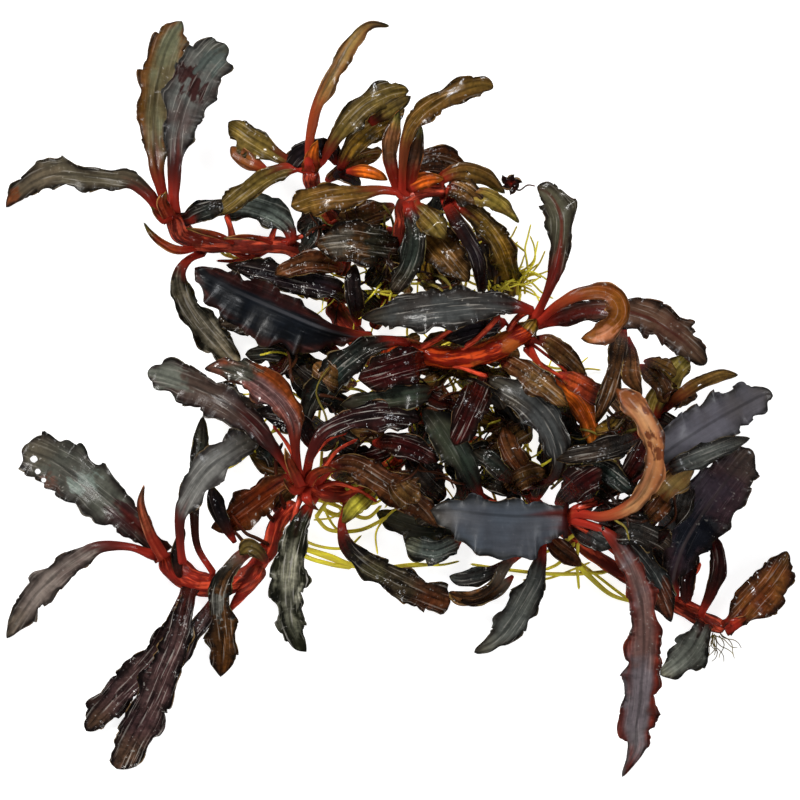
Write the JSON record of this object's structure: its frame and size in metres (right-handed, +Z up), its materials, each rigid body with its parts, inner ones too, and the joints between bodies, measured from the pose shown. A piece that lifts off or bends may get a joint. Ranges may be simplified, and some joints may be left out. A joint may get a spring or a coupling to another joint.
{
  "type": "bucephalandra",
  "caption": "Loose clump of a creeping water plant: red rhizomes and stalks with long, wavy, glossy leaves in slate, olive, maroon and amber, and fine yellow-green roots.",
  "frame": {"origin": "middle of the bounding box in X and Y, at the height of the surface that the clump lies on", "axes": "+Z up from the surface, +X towards the right and +Y towards the top of the clump seen from above; X is the longest side and Z the shortest"},
  "size_m": [0.1582, 0.1515, 0.0354],
  "materials": {
    "leaf_slate": "satin",
    "leaf_black": "satin",
    "leaf_maroon": "satin",
    "leaf_umber": "satin",
    "leaf_olive": "satin",
    "leaf_ochre": "satin",
    "leaf_amber": "satin",
    "leaf_green": "satin",
    "leaf_mauve": "satin",
    "rhizome": "satin",
    "root": "satin"
  },
  "bodies": {
    "root": {"leaf_low_green": "leaf_green", "leaf_sw_down_left": "leaf_maroon", "leaf_sw_down_right": "leaf_maroon", "leaf_sw_low": "leaf_mauve", "leaf_sw_big": "leaf_slate", "leaf_sw_grey": "leaf_slate", "leaf_sw_brown": "leaf_green", "leaf_nw_arc": "leaf_slate", "leaf_nw_left": "leaf_slate", "leaf_nw_tall_back": "leaf_olive", "leaf_nw_tall_front": "leaf_slate", "leaf_nw_teal": "leaf_green", "leaf_west_dark": "leaf_black", "leaf_west_black": "leaf_black", "leaf_north_olive_upper": "leaf_olive", "leaf_north_olive_lower": "leaf_olive", "leaf_north_arch": "leaf_olive", "leaf_north_tall": "leaf_amber", "leaf_centre_brown": "leaf_umber", "leaf_north_ochre": "leaf_ochre", "leaf_ne_dark": "leaf_green", "leaf_ne_long": "leaf_amber", "leaf_ne_hanging": "leaf_olive", "leaf_ne_olive": "leaf_ochre", "leaf_west_brown": "leaf_umber", "leaf_south_green": "leaf_green", "leaf_south_brown": "leaf_umber", "leaf_west_grey": "leaf_slate", "leaf_west_red": "leaf_umber", "leaf_west_right": "leaf_maroon", "leaf_centre_mauve": "leaf_umber", "leaf_se_green": "leaf_green", "leaf_se_far": "leaf_umber", "leaf_se_dark": "leaf_maroon", "leaf_south_slate": "leaf_slate", "leaf_se_black": "leaf_black", "leaf_centre_green": "leaf_green", "leaf_centre_slate": "leaf_slate", "leaf_se_long": "leaf_mauve", "leaf_east_olive": "leaf_olive", "leaf_east_grey": "leaf_slate", "leaf_centre_grey": "leaf_slate", "leaf_east_orange": "leaf_amber", "leaf_east_slate": "leaf_slate", "leaf_east_right": "leaf_mauve", "leaf_east_up": "leaf_mauve", "leaf_east_curl": "leaf_amber", "leaf_se_curl": "leaf_amber", "rhizome_main": "rhizome", "rhizome_se_low": "rhizome", "rhizome_far_east": "rhizome", "rhizome_sw": "rhizome", "rhizome_nw": "rhizome", "rhizome_east": "rhizome", "rhizome_north": "rhizome", "rhizome_ne": "rhizome", "rhizome_west": "rhizome", "rhizome_se": "rhizome", "root_south": "root", "root_west": "root"}
  },
  "joints": []
}
